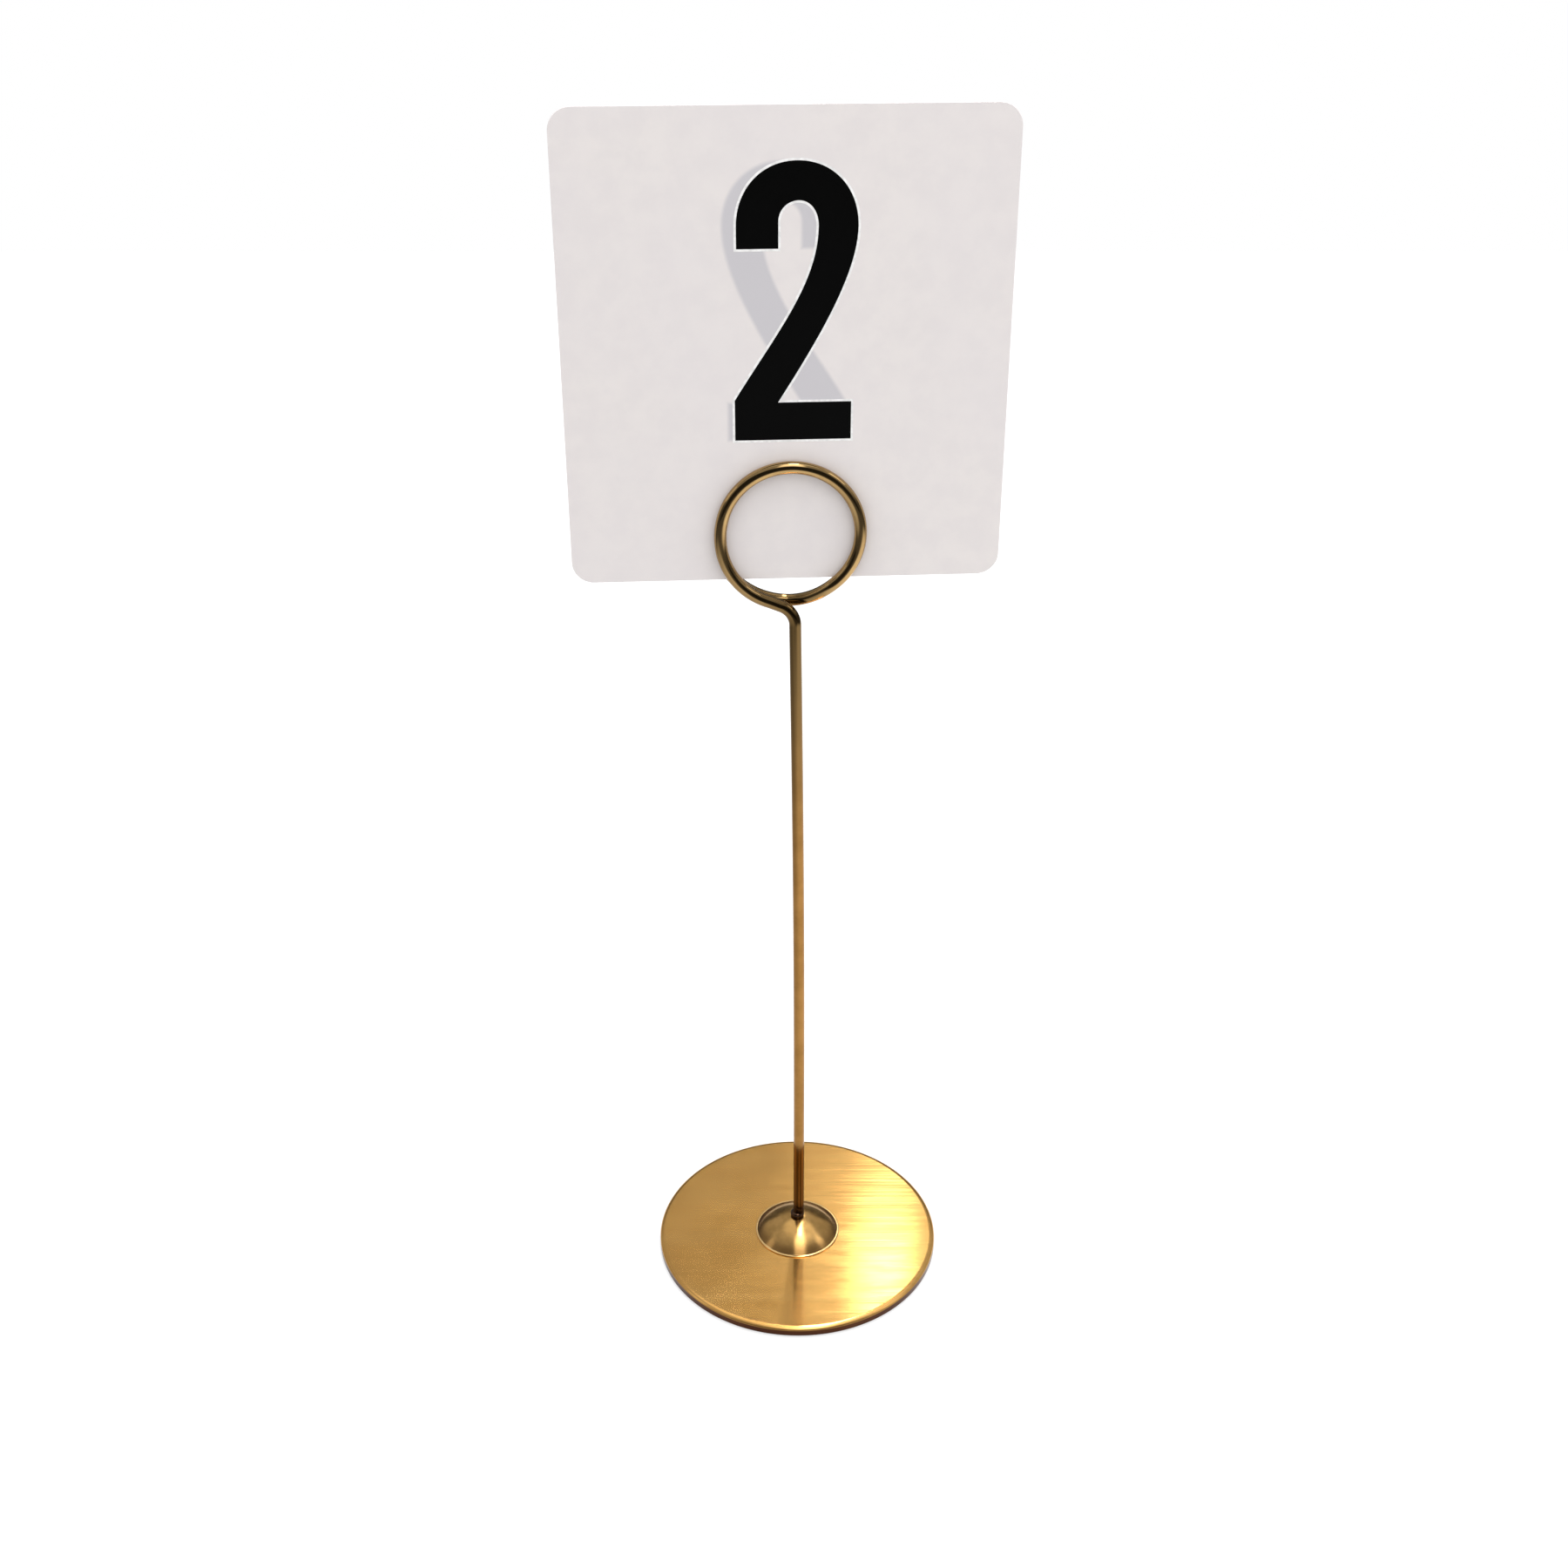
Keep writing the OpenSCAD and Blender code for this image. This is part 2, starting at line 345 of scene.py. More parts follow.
def lathe(name, profile, material, steps, sharp_angle=SHARP_ANGLE):
    """Turns a closed half section, listed anticlockwise, about the Z axis."""
    count = len(profile)
    points = []
    for i in range(steps):
        turn = 2 * pi * i / steps
        points += [(r * cos(turn), r * sin(turn), z) for r, z in profile]
    faces = []
    for i in range(steps):
        here = i * count
        there = (i + 1) % steps * count
        for j in range(count):
            k = (j + 1) % count
            faces.append((here + j, there + j, there + k, here + k))
    return mesh_object(name, points, faces, material, sharp_angle)


def arc(middle, radius, start, end, steps):
    """Points of an arc in the half section, from one angle to another, in degrees."""
    turns = [radians(start + (end - start) * i / steps) for i in range(steps + 1)]
    return [(middle[0] + radius * cos(t), middle[1] + radius * sin(t)) for t in turns]


PAD_ROUND = 0.22 * mm
PAD_NAP = 0.05 * mm
NAP_GRAIN = 2200.0
PAD_RINGS = 48

pad_low, pad_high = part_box("base_pad")
pad_r = pad_high.x
pad_profile = [(0.0, pad_high.z)]
pad_profile += [(pad_r * i / PAD_RINGS, pad_low.z) for i in range(PAD_RINGS)]
pad_profile[-1] = (pad_r - PAD_ROUND, pad_low.z)
pad_profile += arc((pad_r - PAD_ROUND, pad_low.z + PAD_ROUND), PAD_ROUND, -75, 0, 5)
pad_profile += arc((pad_r - PAD_ROUND, pad_high.z - PAD_ROUND), PAD_ROUND, 0, 90, 5)
pad = lathe("felt_pad", pad_profile, felt_finish(), steps=224)
for vertex in pad.data.vertices:
    nap = 0.5 + 0.5 * noise.noise(vertex.co * NAP_GRAIN)
    if vertex.co.z < (pad_low.z + pad_high.z) / 2:
        vertex.co.z += PAD_NAP * nap
    vertex.co.xy *= 1 - PAD_NAP * nap / pad_r
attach(pad, "stand")
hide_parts("base_pad")


# Inside the pan lie a blanked steel ballast disc, and a washer that backs the riveted end
# of the wire. Both are plain mill steel and are hidden by the pad.
def repaint(node, material):
    """Gives a piece that keeps its own mesh a finish of the scene's."""
    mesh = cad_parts[node].data
    mesh.materials.clear()
    mesh.materials.append(material)


def mill_steel_finish(name, colour):
    material = bpy.data.materials.new(name)
    steel = Finish(material)
    scale = steel.grain(steel.place(), scale=260.0, detail=4.0)
    scratches = steel.grain(steel.stretched(60.0, 2400.0, 60.0), scale=1.0, detail=3.0)
    tone = steel.mix(steel.step(scale, 0.35, 0.7), colour, dimmed(colour, 0.7))
    inputs = {
        "Base Color": tone,
        "Metallic": 1.0,
        "Roughness": steel.step(scale, 0.3, 0.7, 0.32, 0.5),
        "Normal": steel.bump(scratches, 0.01 * mm, 0.4),
    }
    steel.surface(steel.node("BsdfPrincipled", None, inputs))
    return material


repaint("ballast_disc", mill_steel_finish("ballast_steel", rgb(150, 152, 156)))
repaint("rivet_washer", mill_steel_finish("washer_steel", rgb(188, 189, 191)))


# The plate is pressed from brass-finished sheet, with a rounded upper edge and a short
# turned-down rim. It is brushed from side to side, and the rim is coloured dark brown.
STREAK_LEAN = 0.012
STROKE_LEAN = 0.15
BROWN_BELOW = 1.15
BRASS_ABOVE = 0.40
HAZE_START = 0.02
HAZE_FULL = 0.25
EDGE_HAZE = 0.10


def brushed_plate_finish(top, edge):
    """Brushed brass. Its brown rim is placed in shares of the edge's depth, down from the top."""
    material = bpy.data.materials.new("plate_brass")
    brass = Finish(material)
    strokes = brass.grain(brass.stretched(14.0, 2600.0, 14.0), scale=1.0, detail=4.0, roughness=0.6)
    bands = brass.grain(brass.stretched(9.0, 130.0, 9.0), scale=1.0, detail=3.0, roughness=0.6)
    streaks = brass.grain(brass.stretched(60.0, 330.0, 60.0), scale=1.0, detail=3.0, roughness=0.6)
    clouds = brass.grain(brass.place(), scale=38.0, detail=3.0, roughness=0.6)
    height = brass.node("SeparateXYZ", None, {"Vector": brass.place()}, output="Z")
    brass_above_rim = brass.step(height, top - edge * BROWN_BELOW, top - edge * BRASS_ABOVE)
    start, full = top - edge * HAZE_START, top - edge * HAZE_FULL
    edge_haze = brass.step(height, start, full, 0.0, EDGE_HAZE)
    sheet = brass.mix(brass.step(clouds, 0.3, 0.7), rgb(216, 164, 91), rgb(224, 173, 98))
    sheet = brass.mix(brass.step(bands, 0.35, 0.7, 0.0, 0.4), sheet, rgb(232, 184, 110))
    rim = brass.mix(brass.step(clouds, 0.3, 0.7), rgb(62, 35, 22), rgb(78, 47, 28))
    leans = {0: STREAK_LEAN * (streaks - 0.5), 1: STROKE_LEAN * (strokes - 0.5)}
    upright = brass.node("NewGeometry", output="Normal")
    lean = brass.node("CombineXYZ", None, leans)
    leaning = brass.node("VectorMath", {"operation": "ADD"}, {0: upright, 1: lean})
    inputs = {
        "Base Color": brass.mix(brass_above_rim, rim, sheet),
        "Metallic": 1.0,
        "Roughness": edge_haze + brass.step(streaks, 0.35, 0.7, 0.06, 0.12),
        "Normal": brass.bump(streaks, 0.008 * mm, 1.0, leaning),
    }
    bright = brass.node("BsdfPrincipled", None, inputs)
    inputs["Roughness"] = edge_haze + brass.step(clouds, 0.3, 0.7, 0.20, 0.25)
    hazy = brass.node("BsdfPrincipled", None, inputs)
    haze = brass.step(streaks, 0.3, 0.7, 0.4, 0.55)
    brass.surface(brass.node("MixShader", None, {0: haze, 1: bright, 2: hazy}))
    return material


PLATE_SHEET = 0.8 * mm
PLATE_EDGE = 0.8 * mm
PLATE_EDGE_RUN = 1.4 * mm
RIM_CHAMFER = 0.12 * mm
PLATE_BORE = 1.45 * mm
PAN_FILLET = 0.4 * mm

plate_low, plate_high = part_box("base_plate")
plate_r = plate_high.x
plate_top = plate_high.z
rim_low = plate_low.z
pan_r = plate_r - PLATE_SHEET
pan_roof = plate_top - PLATE_SHEET
plate_profile = [
    (PLATE_BORE, plate_top),
    (PLATE_BORE, pan_roof),
    *arc((pan_r - PAN_FILLET, pan_roof - PAN_FILLET), PAN_FILLET, 90, 0, 5),
    (pan_r, rim_low + RIM_CHAMFER),
    (pan_r + RIM_CHAMFER, rim_low),
    (plate_r - RIM_CHAMFER, rim_low),
    (plate_r, rim_low + RIM_CHAMFER),
]
for across, up in arc((0.0, 0.0), 1.0, 0, 90, 14):
    edge_r = plate_r - PLATE_EDGE_RUN * (1 - across)
    plate_profile.append((edge_r, plate_top - PLATE_EDGE * (1 - up)))
plate_brass = brushed_plate_finish(plate_top, PLATE_EDGE)
plate = lathe("brushed_plate", plate_profile, plate_brass, steps=256)
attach(plate, "stand")
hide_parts("base_plate")


# The boss is turned from bar: a low dome on a thin foot flange, with a bore for the wire.
# Fine tool rings run round it, and shade is painted into its bronze towards the foot.
BLEND_INSIDE = 0.15 * mm
BLEND_OUTSIDE = 0.05 * mm
PAINTED_SHADE_START = 0.60
PAINTED_SHADE_FULL = 0.20
PAINTED_SHADE_SHARE = 0.6


def turned_boss_finish(foot, height, dome_radius):
    """Turned bronze, with painted shade between two shares of the dome's height, down to the foot.
    """
    material = bpy.data.materials.new("boss_bronze")
    bronze = Finish(material)
    place = bronze.place()
    across = bronze.node("SeparateXYZ", None, {"Vector": place}, output="X")
    along = bronze.node("SeparateXYZ", None, {"Vector": place}, output="Y")
    up = bronze.node("SeparateXYZ", None, {"Vector": place}, output="Z")
    radius = (across ** 2.0 + along ** 2.0) ** 0.5
    spacing = {"W": radius, "Scale": 2600.0, "Detail": 3.0}
    rings = bronze.node("TexNoise", {"noise_dimensions": "1D"}, spacing)
    stain = bronze.grain(place, scale=170.0, detail=4.0, roughness=0.6)
    flange = bronze.step(radius, dome_radius - BLEND_INSIDE, dome_radius + BLEND_OUTSIDE)
    dome = bronze.mix(bronze.step(stain, 0.3, 0.7), rgb(184, 144, 84), rgb(212, 168, 102))
    # Painted shade: the dome darkens towards its foot, where the groove at the flange and dark
    # reflections fall.
    start, full = foot + PAINTED_SHADE_START * height, foot + PAINTED_SHADE_FULL * height
    painted_foot_shade = bronze.step(up, start, full, 0.0, PAINTED_SHADE_SHARE)
    dome = bronze.mix(painted_foot_shade, dome, rgb(98, 66, 36))
    inputs = {
        "Base Color": bronze.mix(flange, dome, rgb(240, 200, 136)),
        "Metallic": 1.0,
        "Roughness": bronze.step(stain, 0.3, 0.7, 0.15, 0.22),
        "Anisotropic": 0.75,
        "Anisotropic Rotation": 0.25,
        "Normal": bronze.bump(rings, 0.006 * mm, 0.35),
    }
    bronze.surface(bronze.node("BsdfPrincipled", None, inputs))
    return material


FLANGE_HEIGHT = 0.35 * mm
FLANGE_LIP = 0.45 * mm
FLANGE_ROUND = 0.12 * mm
CROWN_FLAT = 1.9 * mm

boss_low, boss_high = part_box("boss")
boss_r = boss_high.x
boss_foot = boss_low.z
boss_height = boss_high.z - boss_low.z
dome_r = boss_r - FLANGE_LIP
crown_square = CROWN_FLAT**2 + boss_height**2
foot_square = dome_r**2 + FLANGE_HEIGHT**2
sphere_middle = (crown_square - foot_square) / (2 * (boss_height - FLANGE_HEIGHT))
sphere_r = hypot(CROWN_FLAT, boss_height - sphere_middle)
dome_start = atan2(FLANGE_HEIGHT - sphere_middle, dome_r) * 180 / pi
dome_end = atan2(boss_height - sphere_middle, CROWN_FLAT) * 180 / pi
round_middle = (boss_r - FLANGE_ROUND, boss_foot + FLANGE_HEIGHT - FLANGE_ROUND)
boss_profile = [
    (PLATE_BORE, boss_high.z),
    (PLATE_BORE, boss_foot),
    (boss_r, boss_foot),
    (boss_r, round_middle[1]),
    *arc(round_middle, FLANGE_ROUND, 20, 90, 3),
    *arc((0.0, boss_foot + sphere_middle), sphere_r, dome_start, dome_end, 40),
]
boss_bronze = turned_boss_finish(boss_foot, boss_height, dome_r)
boss = lathe("turned_boss", boss_profile, boss_bronze, steps=160, sharp_angle=radians(25))
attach(boss, "stand")
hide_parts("boss")


# The stem and the ring clip are one length of drawn brass wire. Its lower end is riveted
# under the plate and upset into a bead on the boss. Towards the foot it is darker, partly
# tarnish and partly painted shade. Its upper end is bent to the left and wound one and
# three quarter turns, before and behind the card.
def ease(t):
    """Goes smoothly from 0 to 1 as t does, and stays there beyond."""
    t = min(max(t, 0.0), 1.0)
    return t * t * (3 - 2 * t)


TARNISH_AND_SHADE_FOOT = 14.0 * mm
TARNISH_AND_SHADE_TOP = 36.0 * mm
BEAD_TOP = 10.0 * mm
PAINTED_DARK_BAND = (105.0 * mm, 178.0 * mm)
PALE_WIRE = (184.0 * mm, 194.0 * mm)


def drawn_wire_finish():
    material = bpy.data.materials.new("wire_brass")
    wire = Finish(material)
    around = wire.node("TexCoord", output="UV")
    along = wire.node("Mapping", None, {"Vector": around, "Scale": (40.0, 60.0, 1.0)})
    lines = wire.grain(along, scale=1.0, detail=4.0, roughness=0.6)
    tarnish = wire.grain(wire.place(), scale=95.0, detail=4.0, roughness=0.65)
    height = wire.node("SeparateXYZ", None, {"Vector": wire.place()}, output="Z")
    stem = wire.mix(wire.step(tarnish, 0.3, 0.72), rgb(152, 112, 62), rgb(132, 95, 48))
    ring = wire.mix(wire.step(tarnish, 0.3, 0.72), rgb(174, 145, 98), rgb(154, 125, 82))
    # Painted reflection: a band of the stem below the ring is darker, for the dark surroundings it
    # mirrors.
    stem = wire.mix(wire.step(height, *PAINTED_DARK_BAND), stem, rgb(108, 86, 53))
    colour = wire.mix(wire.step(height, *PALE_WIRE), stem, ring)
    # Partly tarnish, partly painted shade: the stem darkens towards its foot and the bead.
    colour = wire.mix(wire.step(height, TARNISH_AND_SHADE_TOP, TARNISH_AND_SHADE_FOOT), colour, rgb(122, 96, 68))
    colour = wire.mix(wire.step(height, TARNISH_AND_SHADE_FOOT, BEAD_TOP), colour, rgb(84, 62, 46))
    inputs = {
        "Base Color": colour,
        "Metallic": 1.0,
        "Roughness": wire.step(tarnish, 0.3, 0.7, 0.06, 0.12),
        "Normal": wire.bump(lines, 0.008 * mm, 0.25),
    }
    wire.surface(wire.node("BsdfPrincipled", None, inputs))
    return material


def swept_wire(name, path, radii, sides, material):
    """Sweeps a round section along a path that never runs front to back."""
    last = len(path) - 1
    points = []
    faces = []
    for i, point in enumerate(path):
        tangent = (path[min(i + 1, last)] - path[max(i - 1, 0)]).normalized()
        across = tangent.cross(Vector((0.0, 1.0, 0.0))).normalized()
        up = tangent.cross(across)
        for k in range(sides):
            turn = 2 * pi * k / sides
            points.append(point + radii[i] * (cos(turn) * across + sin(turn) * up))
    for i in range(last):
        for k in range(sides):
            a = i * sides + k
            b = i * sides + (k + 1) % sides
            faces.append((a, b, b + sides, a + sides))
    faces.append(tuple(reversed(range(sides))))
    faces.append(tuple(last * sides + k for k in range(sides)))
    piece = mesh_object(name, points, faces, material, sharp_angle=radians(50))
    lengths = [0.0]
    for i in range(last):
        lengths.append(lengths[-1] + (path[i + 1] - path[i]).length)
    layer = piece.data.uv_layers.new(name="wire_length")
    for polygon in piece.data.polygons:
        for loop in polygon.loop_indices:
            vertex = piece.data.loops[loop].vertex_index
            layer.data[loop].uv = (lengths[vertex // sides], vertex % sides / sides)
    return piece


WIRE_R = 1.4 * mm
FOOT_OFFSET = 0.35 * mm
STEM_LEAN = 1.4 * mm
STEM_BOW = 0.42 * mm
RING_MID_R = 15.45 * mm
RING_OFFSET = 2.1 * mm
RING_TURNS = 1.75
BEND_R = 5.0 * mm
BEND_REACH_SHARE = 0.75
NECK_RUN = 2.0 * mm
NECK_REACH_SHARE = 0.4
NECK_LOOK_AHEAD = 1 / 64
END_TAPER = (0.72, 0.93)
CARD_THICKNESS = 0.6 * mm
CARD_YAW = radians(3.5)
GRIP_GAP = 0.15 * mm
FLARE_TURNS = 0.29
FLARE_SHARE = 0.52
OPENING_SHARE = 0.68
CROSS_START_SHARE = 0.9
CROSS_END_SHARE = 0.12
STEPS_PER_TURN = 160
BEND_STEPS = 24
STEM_STEPS = 60
WIRE_SIDES = 32
BEAD_R = 1.85 * mm
BEAD_HEIGHT = 1.5 * mm

wire_low, wire_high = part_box("stem_clip")
card_low, card_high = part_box("number_card")
card_middle = (card_low + card_high) / 2
bead_middle = boss_high.z + BEAD_HEIGHT / 2
ring_x = -RING_OFFSET
neck_flare = FLARE_SHARE * 2 * WIRE_R
rear_opening = OPENING_SHARE * 2 * WIRE_R
ring_z = wire_high.z - WIRE_R - RING_MID_R - rear_opening
grip_half = WIRE_R + CARD_THICKNESS / 2 + GRIP_GAP
clip_y = grip_half + tan(CARD_YAW) * RING_MID_R * NECK_REACH_SHARE
card_lift = card_low.z - ring_z + RING_MID_R
edge_turn = acos((RING_MID_R - card_lift) / RING_MID_R) / (2 * pi)
cross_start = 1 - CROSS_START_SHARE * edge_turn
cross_end = 1 + CROSS_END_SHARE * edge_turn
stem_top_x = FOOT_OFFSET - STEM_LEAN
join_reach = ring_x - stem_top_x + BEND_REACH_SHARE * BEND_R + NECK_RUN
join_turn = asin(join_reach / (RING_MID_R + neck_flare)) / (2 * pi)


def ring_point(turn):
    """Middle of the wire in the ring, counted in turns from the bottom, left side first."""
    crossed = ease((turn - cross_start) / (cross_end - cross_start))
    radius = RING_MID_R + neck_flare * (1 - ease(turn / FLARE_TURNS)) + rear_opening * crossed
    x = ring_x - radius * sin(2 * pi * turn)
    y = clip_y + tan(CARD_YAW) * (x - ring_x) + grip_half * (2 * crossed - 1)
    return Vector((x, y, ring_z - radius * cos(2 * pi * turn)))


join = ring_point(join_turn)
neck_way = ring_point(join_turn + NECK_LOOK_AHEAD) - join
neck_rise = atan2(neck_way.z, -neck_way.x)
bend_angle = pi / 2 - neck_rise
neck_length = (stem_top_x - BEND_R * (1 - cos(bend_angle)) - join.x) / cos(neck_rise)
stem_top_z = join.z - neck_length * sin(neck_rise) - BEND_R * sin(bend_angle)
stem_top = Vector((stem_top_x, 0.0, stem_top_z))
stem_foot = Vector((FOOT_OFFSET, 0.0, bead_middle))
neck_path = neck_length + BEND_R * bend_angle

# The stem bows a little to the right between its foot and its bend.
wire_path = []
for i in range(STEM_STEPS):
    bow = Vector((STEM_BOW * sin(pi * i / STEM_STEPS), 0.0, 0.0))
    wire_path.append(stem_foot.lerp(stem_top, i / STEM_STEPS) + bow)
for i in range(BEND_STEPS + 1):
    angle = bend_angle * i / BEND_STEPS
    depth_share = ease(BEND_R * angle / neck_path)
    bent = Vector((-BEND_R * (1 - cos(angle)), join.y * depth_share, BEND_R * sin(angle)))
    wire_path.append(stem_top + bent)
ring_steps = ceil((RING_TURNS - join_turn) * STEPS_PER_TURN)
for i in range(ring_steps + 1):
    wire_path.append(ring_point(join_turn + (RING_TURNS - join_turn) * i / ring_steps))
wire_radii = [WIRE_R] * len(wire_path)
for back, share in enumerate(END_TAPER, start=1):
    wire_radii[-back] = WIRE_R * share

wire_brass = drawn_wire_finish()
stem_clip = swept_wire("stem_and_ring", wire_path, wire_radii, WIRE_SIDES, wire_brass)
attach(stem_clip, "stand")
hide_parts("stem_clip")

HEAD_R = 2.38 * mm
HEAD_ROUND = 0.15 * mm
head_low = wire_low.z
washer_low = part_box("rivet_washer")[0].z
bead_profile = [
    (0.0, bead_middle),
    (0.0, head_low),
    (HEAD_R - HEAD_ROUND, head_low),
    (HEAD_R, head_low + HEAD_ROUND),
    (HEAD_R, washer_low),
    (WIRE_R, washer_low),
    (WIRE_R, boss_high.z),
    *arc((BEAD_R - BEAD_HEIGHT / 2, bead_middle), BEAD_HEIGHT / 2, -90, 90, 14),
    (0.0, boss_high.z + BEAD_HEIGHT),
]
bead = lathe("riveted_end_and_bead", bead_profile, wire_brass, steps=64)
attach(bead, "stand")
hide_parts("stem_clip")


# The card is die-cut from thin white plastic with a fine matt face, and stands between the
# turns of the ring. The plastic lets a little light through.
def card_finish(name, painted_print_shadow=False):
    material = bpy.data.materials.new(name)
    plastic = Finish(material)
    mottle = plastic.grain(plastic.place(), scale=190.0, detail=4.0, roughness=0.6)
    haze = plastic.grain(plastic.place(), scale=24.0, detail=2.0)
    face = plastic.grain(plastic.place(), scale=3800.0, detail=2.0)
    colour = plastic.mix(plastic.step(mottle, 0.3, 0.7), rgb(232, 226, 225), rgb(236, 230, 228))
    colour = plastic.mix(plastic.step(haze, 0.35, 0.65, 0.0, 0.4), colour, rgb(232, 226, 227))
    # Painted shadow: the print on the other face, seen through the plastic, greys the colour.
    if painted_print_shadow:
        cover = plastic.node("Attribute", {"attribute_name": "cover"}, output="Fac")
        colour = plastic.mix(plastic.step(cover, 0.0, 1.0), colour, rgb(206, 203, 207))
    inputs = {
        "Base Color": colour,
        "Roughness": plastic.step(mottle, 0.3, 0.7, 0.46, 0.56),
        "Specular IOR Level": 0.35,
        "Normal": plastic.bump(face, 0.01 * mm, 0.3),
    }
    plastic.surface(plastic.node("BsdfPrincipled", None, inputs))
    return material


def card_point(across, up, out):
    """Point across from the card's middle, up from its lower edge, out from its middle plane."""
    x = card_middle.x + across * cos(CARD_YAW) + out * sin(CARD_YAW)
    y = card_middle.y + across * sin(CARD_YAW) - out * cos(CARD_YAW)
    return Vector((x, y, card_low.z + up))


CARD_WIDTH = 95.25 * mm
CARD_CORNER = 4.8 * mm
CARD_EDGE = 0.1 * mm
CORNER_STEPS = 12
card_height = card_high.z - card_low.z


def card_outline(inset):
    """Outline of the card, drawn in by an inset, anticlockwise for the reader."""
    outline = []
    half = CARD_WIDTH / 2 - CARD_CORNER
    corners = ((half, CARD_CORNER, -90), (half, card_height - CARD_CORNER, 0))
    corners += ((-half, card_height - CARD_CORNER, 90), (-half, CARD_CORNER, 180))
    for across, up, start in corners:
        outline += arc((across, up), CARD_CORNER - inset, start, start + 90, CORNER_STEPS)
    return outline


card_layers = (
    (CARD_EDGE, CARD_THICKNESS / 2),
    (0.0, CARD_THICKNESS / 2 - CARD_EDGE),
    (0.0, CARD_EDGE - CARD_THICKNESS / 2),
    (CARD_EDGE, -CARD_THICKNESS / 2),
)
card_points = []
for inset, out in card_layers:
    card_points += [card_point(across, up, out) for across, up in card_outline(inset)]
count = len(card_points) // len(card_layers)
back = len(card_points) - count
card_faces = [tuple(range(count)), tuple(reversed(range(back, back + count)))]
for start in range(0, back, count):
    for i in range(count):
        j = (i + 1) % count
        card_faces.append((start + i, start + count + i, start + count + j, start + j))
card_plastic = card_finish("card_plastic")
card = mesh_object("number_card_sheet", card_points, card_faces, card_plastic)
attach(card, "card")
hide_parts("number_card")


# The numeral is printed in black on each face, with a narrow white border. The print on
# the other face shows through the plastic as a pale grey shadow with soft edges, painted
# on each face.
CURVE_STEPS = 24
SHARPEST_TURN = 0.3


def curve(start, first, second, end):
    """Points of a cubic curve, without its last one."""
    points = []
    for i in range(CURVE_STEPS):
        t = i / CURVE_STEPS
        s = 1 - t
        weights = (s**3, 3 * s * s * t, 3 * s * t * t, t**3)
        ends = (start, first, second, end)
        points.append(tuple(sum(w * p[axis] for w, p in zip(weights, ends)) for axis in (0, 1)))
    return points


# The numeral's places are in millimetres, across from the card's middle and up from its
# lower edge. The inside and outside are the two edges of its diagonal stroke.
HOOK_LEFT = -10.4
HOOK_RIGHT = -1.7
HOOK_END = 73.15
ARCH_RIGHT = 14.8
ARCH_TOP = 90.75
ARCH_SPRING = 77.6
COUNTER_RIGHT = 6.6
COUNTER_TOP = 82.85
COUNTER_SPRING = 77.7
COUNTER_SHIFT = 0.1
COUNTER_LEFT_SPRING = 78.6
COUNTER_LEFT_SHARE = 0.8
BAR_LEFT = -11.05
BAR_RIGHT = 13.9
BAR_LOW = 32.3
BAR_TOP = 40.6
INSIDE_START = 41.15
INSIDE_PULL = (-2.7, 54.8)
INSIDE_REACH = 65.8
OUTSIDE_REACH = 67.6
OUTSIDE_PULL = (6.3, 53.5)
OUTSIDE_END = -1.8
FULLNESS = 0.58

arch_middle = (HOOK_LEFT + ARCH_RIGHT) / 2
counter_middle = (HOOK_RIGHT + COUNTER_RIGHT) / 2 + COUNTER_SHIFT
arch_pull = FULLNESS * (ARCH_TOP - ARCH_SPRING)
arch_reach = FULLNESS * (ARCH_RIGHT - arch_middle)
counter_pull = FULLNESS * (COUNTER_TOP - COUNTER_SPRING)
counter_reach = FULLNESS * (COUNTER_RIGHT - counter_middle)
numeral = [
    *curve(
        (BAR_LEFT, INSIDE_START),
        INSIDE_PULL,
        (COUNTER_RIGHT, INSIDE_REACH),
        (COUNTER_RIGHT, COUNTER_SPRING),
    ),
    *curve(
        (COUNTER_RIGHT, COUNTER_SPRING),
        (COUNTER_RIGHT, COUNTER_SPRING + counter_pull),
        (counter_middle + counter_reach, COUNTER_TOP),
        (counter_middle, COUNTER_TOP),
    ),
    *curve(
        (counter_middle, COUNTER_TOP),
        (counter_middle - counter_reach, COUNTER_TOP),
        (HOOK_RIGHT, COUNTER_LEFT_SPRING + counter_pull * COUNTER_LEFT_SHARE),
        (HOOK_RIGHT, COUNTER_LEFT_SPRING),
    ),
    (HOOK_RIGHT, HOOK_END),
    (HOOK_LEFT, HOOK_END),
    *curve(
        (HOOK_LEFT, ARCH_SPRING),
        (HOOK_LEFT, ARCH_SPRING + arch_pull),
        (arch_middle - arch_reach, ARCH_TOP),
        (arch_middle, ARCH_TOP),
    ),
    *curve(
        (arch_middle, ARCH_TOP),
        (arch_middle + arch_reach, ARCH_TOP),
        (ARCH_RIGHT, ARCH_SPRING + arch_pull),
        (ARCH_RIGHT, ARCH_SPRING),
    ),
    *curve(
        (ARCH_RIGHT, ARCH_SPRING),
        (ARCH_RIGHT, OUTSIDE_REACH),
        OUTSIDE_PULL,
        (OUTSIDE_END, BAR_TOP),
    ),
    (OUTSIDE_END, BAR_TOP),
    (BAR_RIGHT, BAR_TOP),
    (BAR_RIGHT, BAR_LOW),
    (BAR_LEFT, BAR_LOW),
]


def grown(outline, by):
    """The same outline moved outwards by a distance, with square corners."""
    moved = []
    count = len(outline)
    for i, here in enumerate(outline):
        before = outline[i - 1]
        after = outline[(i + 1) % count]
        one = Vector((here[0] - before[0], here[1] - before[1])).normalized()
        two = Vector((after[0] - here[0], after[1] - here[1])).normalized()
        normal = Vector((-one.y - two.y, one.x + two.x))
        turn = max(1 + one.dot(two), SHARPEST_TURN)
        moved.append((here[0] + by * normal.x / turn, here[1] + by * normal.y / turn))
    return moved


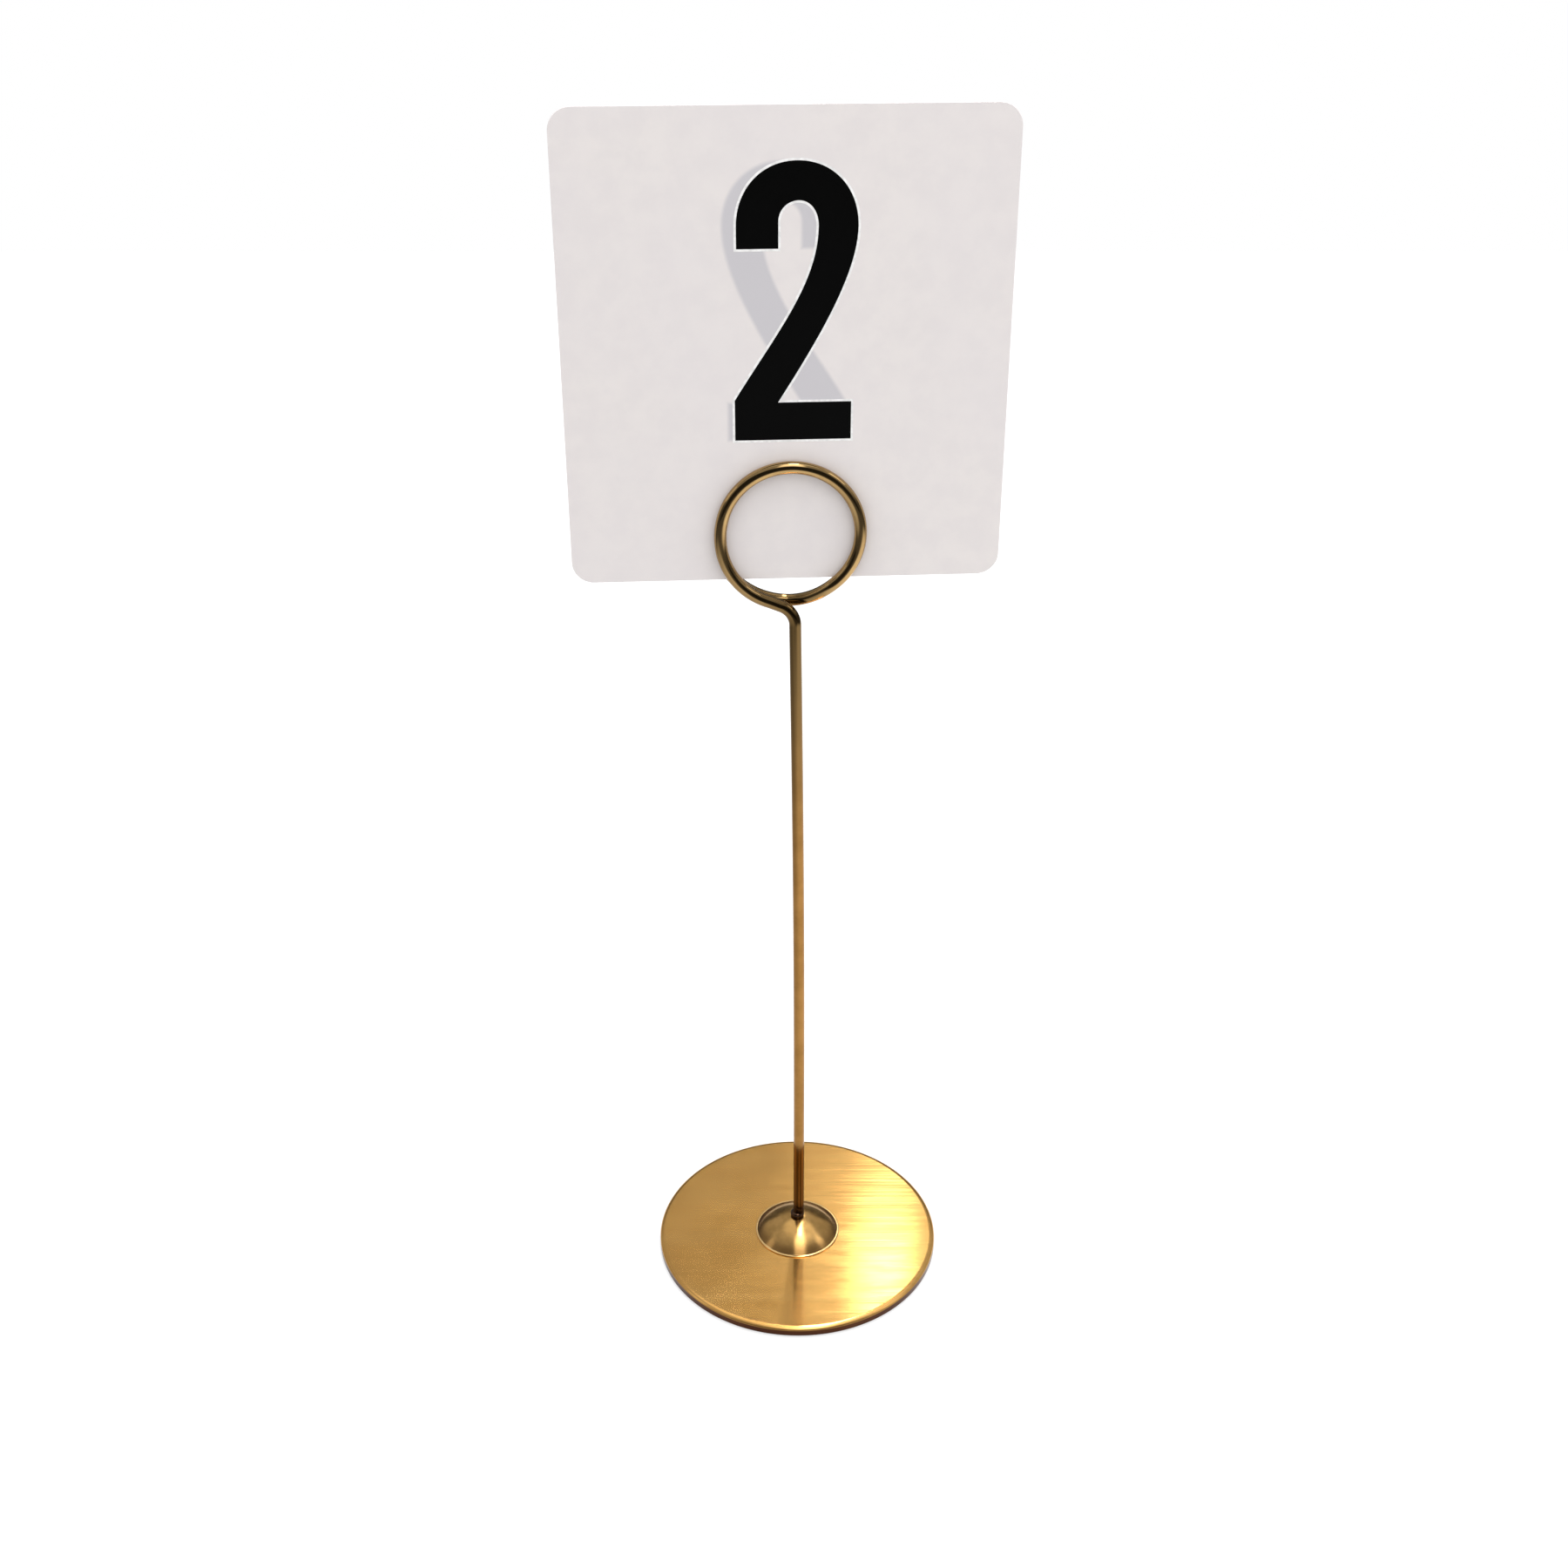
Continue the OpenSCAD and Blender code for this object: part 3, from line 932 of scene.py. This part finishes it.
def print_finish(name, colour, roughness, specular):
    material = bpy.data.materials.new(name)
    ink = Finish(material)
    speckle = ink.grain(ink.place(), scale=900.0, detail=3.0)
    inputs = {
        "Base Color": ink.mix(ink.step(speckle, 0.3, 0.7), colour, dimmed(colour, 0.8)),
        "Roughness": roughness,
        "Specular IOR Level": specular,
    }
    ink.surface(ink.node("BsdfPrincipled", None, inputs))
    return material


PRINT_STEP = 0.008 * mm
BORDER = 0.5
SHADOW_SHIFT = 1.4
SHADOW_BLUR = 1.1
BLUR_STEPS = (0.5, 0.0, -0.5)


def printed(name, outlines, front, out, material, mirrored=False, shift=0.0):
    """A flat layer of print on a face of the card. Outlines follow from the outermost inwards."""
    side = 1 if front else -1
    flip = -1 if mirrored else 1
    points = []
    for outline in outlines:
        for across, up in outline:
            place = side * (flip * across + shift) * mm
            points.append(card_point(place, up * mm, side * (CARD_THICKNESS / 2 + out)))
    count = len(outlines[0])
    faces = [tuple(range(len(points) - count, len(points)))]
    for start in range(0, len(points) - count, count):
        for i in range(count):
            j = (i + 1) % count
            faces.append((start + i, start + j, start + count + j, start + count + i))
    if not mirrored:
        faces = [tuple(reversed(face)) for face in faces]
    layer = mesh_object(name, points, faces, material)
    cover = layer.data.attributes.new("cover", "FLOAT", "POINT")
    for i in range(len(points)):
        cover.data[i].value = i // count / max(len(outlines) - 1, 1)
    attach(layer, "card")


shadow_plastic = card_finish("card_painted_print_shadow", painted_print_shadow=True)
border_ink = print_finish("print_border", rgb(253, 252, 251), roughness=0.5, specular=0.3)
black_ink = print_finish("print_black", rgb(2, 2, 2), roughness=0.55, specular=0.1)
shadow_outlines = [grown(numeral, SHADOW_BLUR * share) for share in BLUR_STEPS]
for face, front in (("front", True), ("back", False)):
    printed(
        f"shadow_{face}",
        shadow_outlines,
        front,
        PRINT_STEP,
        shadow_plastic,
        mirrored=True,
        shift=SHADOW_SHIFT,
    )
    printed(f"border_{face}", [grown(numeral, BORDER)], front, 2 * PRINT_STEP, border_ink)
    printed(f"numeral_{face}", [numeral], front, 3 * PRINT_STEP, black_ink)
